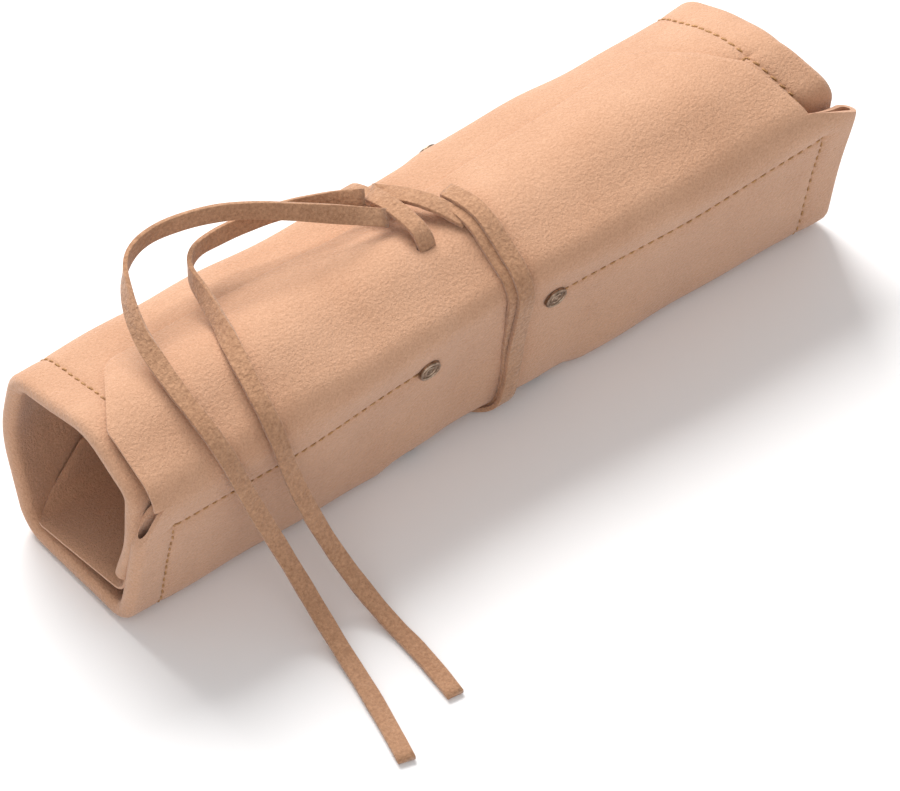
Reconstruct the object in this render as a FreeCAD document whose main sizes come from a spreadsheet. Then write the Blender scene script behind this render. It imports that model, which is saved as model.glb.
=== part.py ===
import FreeCAD, Part
import math
import os
from FreeCAD import Vector

# A carving tool roll: one leather sheet with both margins folded in as pockets,
# rolled up from its inner free edge, closed by a flap and tied with a flat lace.
# Frame: +X along the roll, +Z up, -Y towards the front wall. Millimetres.

os.makedirs("parts", exist_ok=True)
doc = FreeCAD.newDocument("carving_tool_roll")
sheet = doc.addObject("Spreadsheet::Sheet", "Sizes")

SIZES = [
    ("roll_length", 326.0),
    ("roll_width", 96.0),
    ("roll_height", 96.0),
    ("leather_thick", 1.8),
    ("pocket_gap", 0.4),
    ("rim_radius", 3.6),
    ("rim_depth", 15.5),
    ("waist_depth", 4.4),
    ("waist_reach", 95.0),
    ("rivet_inset", 3.4),
    ("pocket_mouth_gap", 50.0),
    ("rivet_gap", 58.0),
    ("seam_pitch", 61.5),
    ("seam_edge", 16.5),
    ("flap_inset_left", 5.0),
    ("flap_inset_right", 20.0),
    ("flap_corner_x", 21.5),
    ("flap_corner_run", 31.5),
    ("inner_flap_inset", 6.0),
    ("inner_corner_x", 28.0),
    ("lace_width", 7.0),
    ("lace_thick", 1.9),
    ("lace_hole_run", 28.5),
    ("lace_hole_offset", 10.0),
    ("rivet_head_dia", 9.6),
    ("rivet_head_thick", 1.5),
    ("rivet_shank_dia", 3.2),
    ("rivet_cap_dia", 7.6),
    ("rivet_cap_thick", 1.0),
    ("thread_dia", 0.8),
    ("stitch_leg_pitch", 12.0),
]
for row, (name, value) in enumerate(SIZES, start=1):
    sheet.set("A%d" % row, name)
    sheet.set("B%d" % row, "%g" % value)
    sheet.setAlias("B%d" % row, name)
doc.recompute()


def size(name):
    return float(getattr(sheet, name))


LENGTH = size("roll_length")
WALL = size("leather_thick")
GAP = size("pocket_gap")
RIM = size("rim_radius")
RIM_IN = size("rim_depth")
WAIST = size("waist_depth")
RIVET_INSET = size("rivet_inset")
MOUTH = (LENGTH - size("pocket_mouth_gap")) / 2
RIVET_X = (LENGTH - size("rivet_gap")) / 2
FLAP_LEFT = size("flap_inset_left")
FLAP_RIGHT = LENGTH - size("flap_inset_right")
LACE_W = size("lace_width")
LACE_T = size("lace_thick")
THREAD = size("thread_dia")

# --- the wound path ------------------------------------------------------
# Corners of the outer leather face in the YZ section, in winding order:
# flap edge, flap crown, front shoulder, front foot, back foot, back wall,
# back shoulder, inner crown, inner shoulder, inner foot, inner heel, inner free end.
# They are drawn for a roll of these sizes, and stretched to the sheet's own.
DRAWN_LENGTH = 326.0
DRAWN_ACROSS = 96.0
WIDE = size("roll_width") / DRAWN_ACROSS
TALL = size("roll_height") / DRAWN_ACROSS
CORNERS = [
    (18.8, 88.3, 0.0),
    (-7.0, 97.0, 34.0),
    (-42.0, 79.0, 15.0),
    (-28.0, 0.0, 12.0),
    (34.5, 0.0, 16.0),
    (50.0, 42.0, 45.0),
    (42.5, 80.0, 15.0),
    (-6.0, 92.2, 28.0),
    (-31.6, 78.6, 11.0),
    (-26.0, 16.0, 9.0),
    (32.5, 7.5, 7.5),
    (38.5, 27.0, 0.0),
]
# The flap turns into the pocket body this far before the straight part of the front wall.
ROOT_RISE = 5.0


def fillet_path(corners, closed=False):
    """Lines and tangent arcs through corners, as (kind, start, end, centre, sweep)."""
    points = [(y * WIDE, z * TALL) for y, z, r in corners]
    radii = [r for y, z, r in corners]
    count = len(points)
    joins = []
    for i in range(count):
        if not closed and i in (0, count - 1):
            joins.append((points[i], points[i], None, 0.0))
            continue
        prev_p, here, next_p = points[i - 1], points[i], points[(i + 1) % count]
        a = Vector(prev_p[0] - here[0], prev_p[1] - here[1], 0).normalize()
        b = Vector(next_p[0] - here[0], next_p[1] - here[1], 0).normalize()
        angle = a.getAngle(b)
        reach = radii[i] / math.tan(angle / 2)
        start = (here[0] + a.x * reach, here[1] + a.y * reach)
        end = (here[0] + b.x * reach, here[1] + b.y * reach)
        middle = (a + b).normalize() * (radii[i] / math.sin(angle / 2))
        centre = (here[0] + middle.x, here[1] + middle.y)
        joins.append((start, end, centre, math.pi - angle))
    runs = []
    for i in range(count if closed else count - 1):
        here, after = joins[i], joins[(i + 1) % count]
        runs.append(("line", here[1], after[0], None, 0.0))
        if after[2] is not None:
            runs.append(("arc", after[0], after[1], after[2], after[3]))
    return runs


def run_length(run):
    kind, start, end, centre, sweep = run
    if kind == "line":
        return math.dist(start, end)
    return math.dist(start, centre) * sweep


def path_length(runs):
    return sum(run_length(run) for run in runs)


def at(runs, distance):
    """Point, tangent and outward normal on the path, as vectors in the YZ plane."""
    left = distance
    for index, run in enumerate(runs):
        size_here = run_length(run)
        if left <= size_here or index == len(runs) - 1:
            break
        left -= size_here
    kind, start, end, centre, sweep = run
    if kind == "line":
        tangent = Vector(0, end[0] - start[0], end[1] - start[1]).normalize()
        point = Vector(0, start[0], start[1]) + tangent * left
    else:
        radius = math.dist(start, centre)
        turn = left / radius
        spoke = Vector(0, start[0] - centre[0], start[1] - centre[1])
        spoke = FreeCAD.Rotation(Vector(1, 0, 0), math.degrees(turn)).multVec(spoke)
        point = Vector(0, centre[0], centre[1]) + spoke
        tangent = Vector(1, 0, 0).cross(spoke).normalize()
    # The winding turns one way throughout, so the outside is always on the same hand.
    outward = tangent.cross(Vector(1, 0, 0))
    return point, tangent, outward


def split(runs, distance):
    """The path cut in two at a distance along it."""
    left = distance
    for index, run in enumerate(runs):
        if left < run_length(run):
            break
        left -= run_length(run)
    kind, start, end, centre, sweep = run
    share = left / run_length(run)
    point = at([run], left)[0]
    cut = (point.y, point.z)
    first = runs[:index] + [(kind, start, cut, centre, sweep * share)]
    second = [(kind, cut, end, centre, sweep * (1 - share))] + runs[index + 1:]
    return first, second


def place_profile(points, run):
    """A closed profile of (x, depth below the outer face) or arcs, stood at the start of a run."""
    point, tangent, outward = at([run], 0.0)

    def to3d(p):
        return point + Vector(p[0], 0, 0) - outward * p[1]

    edges = []
    for piece in points:
        if len(piece) == 2:
            edges.append(Part.makeLine(to3d(piece[0]), to3d(piece[1])))
        else:
            edges.append(Part.Arc(to3d(piece[0]), to3d(piece[1]), to3d(piece[2])).toShape())
    return Part.Face(Part.Wire(edges))


def wound(profile, runs):
    """The profile carried along the wound path, run by run."""
    solids = []
    for run in runs:
        face = place_profile(profile, run)
        kind, start, end, centre, sweep = run
        if kind == "line":
            solids.append(face.extrude(Vector(0, end[0] - start[0], end[1] - start[1])))
        else:
            hub = Vector(0, centre[0], centre[1])
            solids.append(face.revolve(hub, Vector(1, 0, 0), math.degrees(sweep)))
    body = solids[0].multiFuse(solids[1:])
    return body.removeSplitter()


SPIRAL = fillet_path(CORNERS)
flap_run = 0.0
for run in SPIRAL[:4]:
    flap_run += run_length(run)
flap_run -= ROOT_RISE
FLAP_PATH, BODY_PATH = split(SPIRAL, flap_run)
# Seams are counted from the root of the closing flap inwards.
SEAMS = 6
seam_runs = [size("seam_edge") + size("seam_pitch") * i for i in range(SEAMS)]
# Past the last seam the sheet goes on as a single layer, the inner flap.
BODY_PATH, INNER_PATH = split(BODY_PATH, seam_runs[-1] + size("seam_edge"))

# --- section through the thickness --------------------------------------
HALF = LENGTH / 2
# The leather dips to the rivets, and again past the pockets' mouths, where the lace ties it.
BESIDE_RIVET = 6.0
MOUTH_LIP = 2.0
MOUTH_SLOPE = 8.0
STATIONS = [
    (RIM_IN, 0.0),
    (HALF - size("waist_reach"), 0.0),
    (RIVET_X - BESIDE_RIVET, RIVET_INSET),
    (MOUTH + MOUTH_LIP, RIVET_INSET),
    (MOUTH + MOUTH_LIP + MOUTH_SLOPE, WAIST),
    (HALF, WAIST),
]


def depth_at(x):
    """Depth of the waist below the straight outer face."""
    if x > HALF:
        x = LENGTH - x
    if x <= STATIONS[0][0]:
        return 0.0
    for (x0, d0), (x1, d1) in zip(STATIONS, STATIONS[1:]):
        if x <= x1:
            return d0 + (d1 - d0) * (x - x0) / (x1 - x0)
    return WAIST


def face_line(x0, x1, extra):
    """Points along a leather face from x0 to x1 that follow the waist."""
    knots = [x for x, d in STATIONS] + [LENGTH - x for x, d in STATIONS[:-1]]
    low, high = min(x0, x1), max(x0, x1)
    inside = sorted(x for x in knots if low < x < high)
    if x0 > x1:
        inside.reverse()
    return [(x, depth_at(x) + extra) for x in [x0] + inside + [x1]]


def chain(points):
    return [(a, b) for a, b in zip(points, points[1:])]


def sheet_profile():
    """Outer layer, both folded rims and both pocket layers as one closed outline."""
    inner = RIM - WALL
    under = WALL + GAP
    total = WALL * 2 + GAP
    diag = math.sqrt(0.5)
    pieces = []
    pieces += chain(face_line(RIM, LENGTH - RIM, 0.0))
    far = LENGTH - RIM
    pieces.append(((far, 0.0), (LENGTH, RIM), (far, 2 * RIM)))
    back = face_line(LENGTH - RIM_IN, LENGTH - MOUTH, total)
    pieces.append(((far, 2 * RIM), back[0]))
    pieces += chain(back)
    forth = face_line(LENGTH - MOUTH, LENGTH - RIM_IN, under)
    pieces.append((back[-1], forth[0]))
    pieces += chain(forth)
    pieces.append((forth[-1], (far, RIM + inner)))
    pieces.append(((far, RIM + inner), (far + inner, RIM), (far, RIM - inner)))
    pieces += chain(face_line(far, RIM, WALL))
    pieces.append(((RIM, RIM - inner), (RIM - inner, RIM), (RIM, RIM + inner)))
    forth = face_line(RIM_IN, MOUTH, under)
    pieces.append(((RIM, RIM + inner), forth[0]))
    pieces += chain(forth)
    back = face_line(MOUTH, RIM_IN, total)
    pieces.append((forth[-1], back[0]))
    pieces += chain(back)
    pieces.append((back[-1], (RIM, 2 * RIM)))
    pieces.append(((RIM, 2 * RIM), (0.0, RIM), (RIM, 0.0)))
    return pieces


def flap_profile(left, right):
    """A single layer of the sheet between two side edges."""
    top = face_line(left, right, 0.0)
    under = face_line(right, left, WALL)
    pieces = chain(top)
    pieces.append((top[-1], under[0]))
    pieces += chain(under)
    pieces.append((under[-1], top[0]))
    return pieces


def frame_at(runs, distance, x):
    """A point on the outer leather face with its axes."""
    point, tangent, outward = at(runs, distance)
    spot = point + Vector(x, 0, 0) - outward * depth_at(x)
    return spot, tangent, outward


# --- leather sheet -------------------------------------------------------
body_leather = wound(sheet_profile(), BODY_PATH)
flap_leather = wound(flap_profile(FLAP_LEFT, FLAP_RIGHT), FLAP_PATH)
corner_x = size("flap_corner_x")
corner_run = size("flap_corner_run") * WIDE
edge_point = at(FLAP_PATH, 0.0)[0]
# The corner cutters stand past the leather's edges by this much.
SPARE = 1.0


def corner_cutter(near, inward, reach, low, high, place):
    """A prism that takes off one corner: reach along the roll, low to high across it."""
    slope = reach / (high - low)
    corners = [
        place(near - inward * SPARE, high + SPARE * 2),
        place(near + inward * (reach + SPARE * 2 * slope), high + SPARE * 2),
        place(near, low),
        place(near - inward * SPARE, low),
    ]
    return Part.Face(Part.makePolygon(corners + corners[:1]))


for near, inward in ((FLAP_LEFT, 1), (FLAP_RIGHT, -1)):
    face = corner_cutter(near, inward, corner_x, edge_point.y - corner_run, edge_point.y,
                         lambda x, across: Vector(x, across, size("roll_height") / 2))
    flap_leather = flap_leather.cut(face.extrude(Vector(0, 0, size("roll_height"))))

inner_left = size("inner_flap_inset")
inner_flap = wound(flap_profile(inner_left, LENGTH - inner_left), INNER_PATH)
inner_end = at(INNER_PATH, path_length(INNER_PATH))[0]
heel = CORNERS[-2]
for near, inward in ((inner_left, 1), (LENGTH - inner_left, -1)):
    face = corner_cutter(near, inward, size("inner_corner_x"), heel[1] * TALL, inner_end.z,
                         lambda x, across: Vector(x, heel[0] * WIDE - heel[2], across))
    inner_flap = inner_flap.cut(face.extrude(Vector(0, inner_end.y, 0)))

HOLE_X = HALF - size("lace_hole_offset")
hole_spot, hole_along, hole_out = frame_at(FLAP_PATH, size("lace_hole_run"), HOLE_X)
HOLE_PLAY = 1.2
HOLE_DEEP = 3 * WALL
hole = Part.makeBox(LACE_W + HOLE_PLAY, LACE_T + HOLE_PLAY, HOLE_DEEP)
hole.translate(Vector(-(LACE_W + HOLE_PLAY) / 2, -(LACE_T + HOLE_PLAY) / 2, -HOLE_DEEP * 2 / 3))
hole.Placement = FreeCAD.Placement(
    hole_spot, FreeCAD.Rotation(Vector(1, 0, 0), hole_along, hole_out, "XZY")
).multiply(hole.Placement)
flap_leather = flap_leather.cut(hole)
leather = body_leather.multiFuse([flap_leather, inner_flap]).removeSplitter()

# --- seams ---------------------------------------------------------------
total_thick = 2 * WALL + GAP
# The thread is pulled down into the soft leather and stands a little proud of it.
PROUD = 0.2


def ladder(x0, x1, distance):
    """One seam: a thread on each face with legs through both layers, along the roll."""
    spot, tangent, outward = at(BODY_PATH, distance)
    out_top = face_line(x0, x1, -PROUD)
    out_low = face_line(x1, x0, THREAD - PROUD)
    in_top = face_line(x0, x1, total_thick - THREAD + PROUD)
    in_low = face_line(x1, x0, total_thick + PROUD)

    def wall(points):
        corners = [spot + Vector(x, 0, 0) - outward * d - tangent * (THREAD / 2) for x, d in points]
        face = Part.Face(Part.makePolygon(corners + corners[:1]))
        return face.extrude(tangent * THREAD)

    parts = [wall(out_top + out_low), wall(in_top + in_low)]
    pitch = size("stitch_leg_pitch")
    legs = max(2, int(round(abs(x1 - x0) / pitch)) + 1)
    step = (x1 - x0 - THREAD) / (legs - 1)
    for i in range(legs):
        left = x0 + step * i
        right = left + THREAD
        top = depth_at(left)
        box = [(left, top), (right, depth_at(right))]
        box += [(right, depth_at(right) + total_thick), (left, top + total_thick)]
        parts.append(wall(box))
    return parts[0].multiFuse(parts[1:]).removeSplitter()


threads = {}
# A seam stops this far short of the rivet's middle, and starts clear of the rim's stitching.
HEAD_CLEAR = 0.4
RIVET_CLEAR = size("rivet_head_dia") / 2 + HEAD_CLEAR
RIM_CLEAR = RIM_IN + THREAD * 1.5
for number, distance in enumerate(seam_runs, start=1):
    left_end = RIVET_X - RIVET_CLEAR
    threads["seam_thread_left_%d" % number] = ladder(RIM_CLEAR, left_end, distance)
    threads["seam_thread_right_%d" % number] = ladder(LENGTH - left_end, LENGTH - RIM_CLEAR, distance)


def perimeter(x, legs=12):
    """The stitch that runs round the roll beside a folded rim, from the first seam to the last."""
    band = split(split(BODY_PATH, seam_runs[-1])[0], seam_runs[0])[1]
    pieces = []
    for low in (0.0, total_thick - THREAD):
        square = [(x - THREAD / 2, low), (x + THREAD / 2, low)]
        square += [(x + THREAD / 2, low + THREAD), (x - THREAD / 2, low + THREAD)]
        pieces.append(wound(chain(square + square[:1]), band))
    reach = path_length(band)
    for i in range(legs):
        distance = THREAD + (reach - 2 * THREAD) * i / (legs - 1)
        spot, tangent, outward = at(band, distance)
        corner = []
        for dx, dt in ((-1, -1), (1, -1), (1, 1), (-1, 1)):
            corner.append(spot + Vector(x + dx * THREAD / 2, 0, 0) + tangent * (dt * THREAD / 2))
        leg = Part.Face(Part.makePolygon(corner + corner[:1])).extrude(outward * -total_thick)
        pieces.append(leg)
    return pieces[0].multiFuse(pieces[1:]).removeSplitter()


threads["rim_thread_left"] = perimeter(RIM_IN)
threads["rim_thread_right"] = perimeter(LENGTH - RIM_IN)

# --- rivets --------------------------------------------------------------
# One post and one cap are built from bound primitives about +Z, with the leather's outer
# face at height 0, and then set at every seam.
def primitive(kind, name, formulas):
    """A primitive whose sizes follow formulas of the sheet, in millimetres."""
    item = doc.addObject(kind, name)
    for key, formula in formulas.items():
        item.setExpression(key, "(%s) * 1mm" % formula)
    return item


def joined(kind, name, pieces):
    item = doc.addObject(kind, name)
    if kind == "Part::Cut":
        item.Base, item.Tool = pieces
    else:
        item.Shapes = pieces
    return item


STACK = "(2 * Sizes.leather_thick + Sizes.pocket_gap)"
SHANK_R = "Sizes.rivet_shank_dia / 2"
HEAD_R = "Sizes.rivet_head_dia / 2"
FACE_H = "Sizes.rivet_head_thick / 2"
shank = primitive("Part::Cylinder", "rivet_shank", {
    "Radius": SHANK_R,
    "Height": STACK + " + 0.8 * Sizes.rivet_cap_thick + " + FACE_H,
    "Placement.Base.z": "-" + STACK + " - 0.8 * Sizes.rivet_cap_thick",
})
disc = primitive("Part::Cylinder", "rivet_disc", {"Radius": HEAD_R, "Height": FACE_H})
rim_ring = primitive("Part::Torus", "rivet_rim_ring", {
    "Radius1": HEAD_R + " - 0.45 * Sizes.rivet_head_thick",
    "Radius2": "0.4 * Sizes.rivet_head_thick",
    "Placement.Base.z": FACE_H,
})
inner_ring = primitive("Part::Torus", "rivet_inner_ring", {
    "Radius1": SHANK_R + " + 0.4 * Sizes.rivet_head_thick",
    "Radius2": "0.3 * Sizes.rivet_head_thick",
    "Placement.Base.z": FACE_H,
})
centre_dot = primitive("Part::Cone", "rivet_centre_dot", {
    "Radius1": SHANK_R + " / 2",
    "Radius2": SHANK_R + " / 4",
    "Height": "0.3 * Sizes.rivet_head_thick",
    "Placement.Base.z": FACE_H,
})
post = joined("Part::MultiFuse", "rivet_post", [shank, disc, rim_ring, inner_ring, centre_dot])

cap_disc = primitive("Part::Cone", "rivet_cap_disc", {
    "Radius1": "Sizes.rivet_cap_dia / 2 - 0.6 * Sizes.rivet_cap_thick",
    "Radius2": "Sizes.rivet_cap_dia / 2",
    "Height": "Sizes.rivet_cap_thick",
    "Placement.Base.z": "-" + STACK + " - Sizes.rivet_cap_thick",
})
cap_hole = primitive("Part::Cylinder", "rivet_cap_hole", {
    "Radius": SHANK_R,
    "Height": "2 * Sizes.rivet_cap_thick",
    "Placement.Base.z": "-" + STACK + " - 1.5 * Sizes.rivet_cap_thick",
})
cap = joined("Part::Cut", "rivet_cap", [cap_disc, cap_hole])
doc.recompute()


def set_at(pattern, spot, outward):
    """A copy of a piece built about +Z, set at a spot on the leather."""
    solid = pattern.Shape.copy()
    solid.Placement = FreeCAD.Placement(spot, FreeCAD.Rotation(Vector(0, 0, 1), outward))
    return solid


posts = {"left": [], "right": []}
caps = {"left": [], "right": []}
for side, x in (("left", RIVET_X), ("right", LENGTH - RIVET_X)):
    for distance in seam_runs:
        spot, tangent, outward = frame_at(BODY_PATH, distance, x)
        posts[side].append(set_at(post, spot, outward))
        caps[side].append(set_at(cap, spot, outward))

holes = list(threads.values())
for side in ("left", "right"):
    holes += posts[side] + caps[side]
leather = leather.cut(holes)
print("leather solids", len(leather.Solids), "valid", leather.isValid())

# --- lace round the waist ------------------------------------------------
LOOP = fillet_path([CORNERS[i] for i in (1, 2, 3, 4, 5, 6)], closed=True)
LOOP_LENGTH = path_length(LOOP)
# Where the lace lies: share of the way round, from the crown down the front, and offset along
# the roll. It starts on the crown beside the knot and ends behind it.
LACE_START = -0.085
LACE_END = 0.86
LACE_SHIFTS = [
    (-0.1, 8.0),
    (-0.04, 12.5),
    (0.04, 13.0),
    (0.12, 12.0),
    (0.24, 11.0),
    (0.3, 9.0),
    (0.345, 4.0),
    (0.39, -3.0),
    (0.48, -9.0),
    (0.62, -12.0),
    (0.8, -10.5),
    (0.9, -8.5),
]


def lace_shift(share, spread):
    """The place along the roll of a strand at a share of the way round."""
    for (a, va), (b, vb) in zip(LACE_SHIFTS, LACE_SHIFTS[1:]):
        if share <= b:
            u = (share - a) / (b - a)
            u = u * u * (3 - 2 * u)
            return HALF + va + (vb - va) * u + spread * math.cos(share * 2 * math.pi)
    return HALF + LACE_SHIFTS[-1][1]


# Beside the knot the strands stand off the leather, over the end of the knot's strap.
LACE_LIFT = LACE_T + 0.2
LIFT_FROM = -0.03
LIFT_TO = 0.03


def lace_lift(share):
    """How far a strand stands off the leather at a share of the way round."""
    u = min(max((share - LIFT_FROM) / (LIFT_TO - LIFT_FROM), 0.0), 1.0)
    return LACE_LIFT * (1 - u * u * (3 - 2 * u))


def strand(level, spread, steps=72):
    """A flat strand laid round the waist, its underside at a height above the leather."""
    rings = []
    for i in range(steps + 1):
        share = LACE_START + (LACE_END - LACE_START) * i / steps
        point, tangent, outward = at(LOOP, (share % 1.0) * LOOP_LENGTH)
        x = lace_shift(share, spread)
        base = point - outward * (WAIST - level - lace_lift(share)) + Vector(x, 0, 0)
        corners = []
        for dx, up in ((-1, 0), (1, 0), (1, 1), (-1, 1)):
            corners.append(base + Vector(dx * LACE_W / 2, 0, 0) + outward * (up * LACE_T))
        rings.append(Part.makePolygon(corners + corners[:1]))
    return Part.makeLoft(rings, True, True)


# --- knot and free tails -------------------------------------------------
# Each point: x, y, z of the centre line, then the direction of the lace's width.
KNOT = [
    (153.0, -9.3, 86.4, 1, 0, 0),
    (152.8, -8.3, 94.6, 1, 0, 0),
    (151.5, 4.4, 96.8, 1, 0.1, 0),
    (149.3, 15.0, 96.6, 1, 0.2, 0),
    (149.6, 21.3, 93.2, 0.95, 0.25, 0.1),
    (154.0, 20.6, 91.6, 0.9, 0.35, 0.1),
    (158.2, 12.6, 94.6, 0.95, 0.4, 0),
    (163.0, 4.6, 95.2, 0.95, 0.4, 0),
    (167.5, -2.6, 93.2, 0.95, 0.4, 0),
    (171.2, -8.8, 90.5, 0.95, 0.4, 0),
]
TAIL_LONG = [
    (147.0, 6.5, 94.8, 0, 0.75, 0.65),
    (121.0, 18.0, 106.0, 0, 0.5, 0.85),
    (90.0, 36.0, 113.0, 0, 0.3, 0.95),
    (52.0, 42.0, 114.0, 0, 0.1, 1),
    (36.0, 16.0, 108.0, 0.55, 0, 0.8),
    (34.5, -11.0, 97.6, 1, 0, 0.1),
    (36.0, -38.5, 88.0, 1, 0, 0),
    (43.0, -47.0, 60.0, 1, 0, 0),
    (52.5, -57.0, 29.0, 1, 0, 0),
    (56.5, -80.0, 2.6, 1, 0, 0),
    (50.5, -113.0, 1.2, 1, 0, 0),
    (43.0, -140.0, 1.6, 1, 0, 0),
]
TAIL_SHORT = [
    (145.6, 19.0, 95.8, 0, 0.75, 0.65),
    (126.0, 27.5, 99.6, 0, 0.5, 0.85),
    (98.0, 35.0, 98.5, 0, 0.35, 0.95),
    (71.5, 33.0, 101.0, 0, 0.1, 1),
    (68.0, 7.0, 98.0, 0.55, 0, 0.8),
    (61.0, -18.0, 95.5, 1, 0, 0.1),
    (58.7, -41.0, 84.0, 1, 0, 0),
    (62.7, -47.0, 56.0, 1, 0, 0),
    (70.7, -58.0, 25.0, 1, 0, 0),
    (77.7, -80.0, 2.6, 1, 0, 0),
    (78.5, -105.0, 1.2, 1, 0, 0),
    (76.0, -126.0, 1.5, 1, 0, 0),
]
SCALE = Vector(LENGTH / DRAWN_LENGTH, WIDE, TALL)
# Each bend takes up this share of the shorter run beside it.
REACH = 0.45
DEGREES_A_STEP = 8.0


def scaled(points):
    out = []
    for x, y, z, a, b, c in points:
        out.append((Vector(x * SCALE.x, y * SCALE.y, z * SCALE.z), Vector(a, b, c).normalize()))
    return out


def rounded(points, label):
    """Straight runs joined by tangent arcs; returns stations of (point, width direction)."""
    spots = scaled(points)
    stations = [spots[0]]
    radii = []
    for i in range(1, len(spots) - 1):
        before, here, after = spots[i - 1][0], spots[i][0], spots[i + 1][0]
        a = (before - here)
        b = (after - here)
        shorter = min(a.Length, b.Length)
        a.normalize()
        b.normalize()
        half_turn = (math.pi - a.getAngle(b)) / 2
        radius = REACH * shorter / math.tan(half_turn)
        radii.append(radius)
        centre = here + (a + b).normalize() * (radius / math.cos(half_turn))
        axis = a.cross(b).normalize()
        spoke = here + a * (REACH * shorter) - centre
        steps = max(3, int(math.degrees(2 * half_turn) / DEGREES_A_STEP))
        for k in range(steps + 1):
            turn = -2 * half_turn * k / steps
            point = centre + FreeCAD.Rotation(axis, math.degrees(turn)).multVec(spoke)
            side = spots[i - 1][1] * (REACH * (1 - k / steps)) + spots[i + 1][1] * (REACH * k / steps)
            side = side + spots[i][1] * (1 - REACH)
            stations.append((point, side.normalize()))
    stations.append(spots[-1])
    print(label, "radii", " ".join("%.0f" % r for r in radii))
    return stations


def ribbon(points, label):
    """A flat lace of the lace's section carried along the rounded path."""
    stations = rounded(points, label)
    rings = []
    reach = 0.0
    for i, (point, side) in enumerate(stations):
        low = stations[max(0, i - 1)][0]
        high = stations[min(len(stations) - 1, i + 1)][0]
        along = (high - low).normalize()
        across = (side - along * side.dot(along)).normalize()
        thick = along.cross(across)
        corners = []
        for u, v in ((-1, -1), (1, -1), (1, 1), (-1, 1)):
            corners.append(point + across * (u * LACE_W / 2) + thick * (v * LACE_T / 2))
        rings.append(Part.makePolygon(corners + corners[:1]))
        if i:
            reach += (point - stations[i - 1][0]).Length
    solid = Part.makeLoft(rings, True, True)
    ideal = LACE_W * LACE_T * reach
    print(label, "length %.1f volume %.0f of %.0f" % (reach, solid.Volume, ideal))
    return solid


SPECS = {"leather_sheet": leather}
SPECS.update(threads)
for side in ("left", "right"):
    SPECS["rivet_posts_%s" % side] = Part.makeCompound(posts[side])
    SPECS["rivet_caps_%s" % side] = Part.makeCompound(caps[side])
# The strands lie on the leather and on each other with this much between.
LAY = 0.05
SPECS["lace_under_strand"] = strand(LAY, -3.2)
SPECS["lace_over_strand"] = strand(2 * LAY + LACE_T, 0.6)
SPECS["lace_knot"] = ribbon(KNOT, "knot")
SPECS["lace_tail_long"] = ribbon(TAIL_LONG, "long tail")
SPECS["lace_tail_short"] = ribbon(TAIL_SHORT, "short tail")

# The frame's origin is the middle of the resting side, so the winding is set back to it.
FINE_STEPS = 2000
outer_y = []
for path in (BODY_PATH, FLAP_PATH):
    stretch = path_length(path) / FINE_STEPS
    outer_y += [at(path, stretch * i)[0].y for i in range(FINE_STEPS + 1)]
middle_y = (min(outer_y) + max(outer_y)) / 2
for row, (name, value) in enumerate((("origin_x", -HALF), ("origin_y", -middle_y)), start=len(SIZES) + 1):
    sheet.set("A%d" % row, name)
    sheet.set("B%d" % row, "%.4f" % value)
    sheet.setAlias("B%d" % row, name)
doc.recompute()
print("origin offset", round(-HALF, 3), round(-middle_y, 3))

subparts = []
for name, shape in SPECS.items():
    item = doc.addObject("Part::Feature", name)
    item.Label = name
    item.Shape = shape
    item.setExpression("Placement.Base.x", "Sizes.origin_x * 1mm")
    item.setExpression("Placement.Base.y", "Sizes.origin_y * 1mm")
    subparts.append(item)
doc.recompute()
for item in doc.Objects:
    bad = [word for word in ("Invalid", "Error") if word in item.State]
    if bad or (item.isDerivedFrom("Part::Feature") and (item.Shape.isNull() or not item.Shape.isValid())):
        raise RuntimeError("%s is not sound: %s" % (item.Label, bad))
for item in subparts:
    item.Shape.exportStep(os.path.join("parts", item.Label + ".step"))
    box = item.Shape.BoundBox
    print("%-22s %7d mm3 x %.1f..%.1f y %.1f..%.1f z %.2f..%.1f solids %d" % (
        item.Label, item.Shape.Volume, box.XMin, box.XMax, box.YMin, box.YMax,
        box.ZMin, box.ZMax, len(item.Shape.Solids)))
print("lengths: flap %.2f, body %.2f, inner flap %.2f" % (
    path_length(FLAP_PATH), path_length(BODY_PATH), path_length(INNER_PATH)))
for number, distance in enumerate(seam_runs, start=1):
    p = at(BODY_PATH, distance)[0]
    print("seam", number, round(p.y, 1), round(p.z, 1))
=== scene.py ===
# %% [markdown]
# # A rolled leather tool roll, tied with a flat lace
# One sheet of thick nubuck is wound a little over one and a half turns. Both margins are folded in,
# which makes rounded hollow rims and two rows of pockets. Stitched seams divide the pockets,
# rivets hold the pocket mouths, and a lace ties the waist and trails over the front.

# %% Load the frame
import math
import bpy
import numpy as np
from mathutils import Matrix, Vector


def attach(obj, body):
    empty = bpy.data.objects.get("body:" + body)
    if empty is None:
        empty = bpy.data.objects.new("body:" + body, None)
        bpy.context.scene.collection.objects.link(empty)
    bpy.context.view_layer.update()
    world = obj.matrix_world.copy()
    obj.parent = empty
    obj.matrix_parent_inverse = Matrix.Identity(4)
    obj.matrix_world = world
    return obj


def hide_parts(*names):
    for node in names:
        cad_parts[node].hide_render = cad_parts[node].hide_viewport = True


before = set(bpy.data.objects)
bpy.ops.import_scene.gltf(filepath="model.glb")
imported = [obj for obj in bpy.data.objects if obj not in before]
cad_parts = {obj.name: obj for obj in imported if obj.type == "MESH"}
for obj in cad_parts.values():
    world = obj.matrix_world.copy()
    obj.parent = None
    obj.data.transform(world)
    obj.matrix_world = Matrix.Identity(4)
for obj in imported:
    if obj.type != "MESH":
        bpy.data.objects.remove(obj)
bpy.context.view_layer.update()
rng = np.random.default_rng(7)

# %% [markdown]
# ## Sizes
# All in metres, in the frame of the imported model: +X along the roll, +Z up, -Y to the front wall.
# Sizes that several pieces share are written once here, so that leather, stitches and lace agree.

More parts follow.
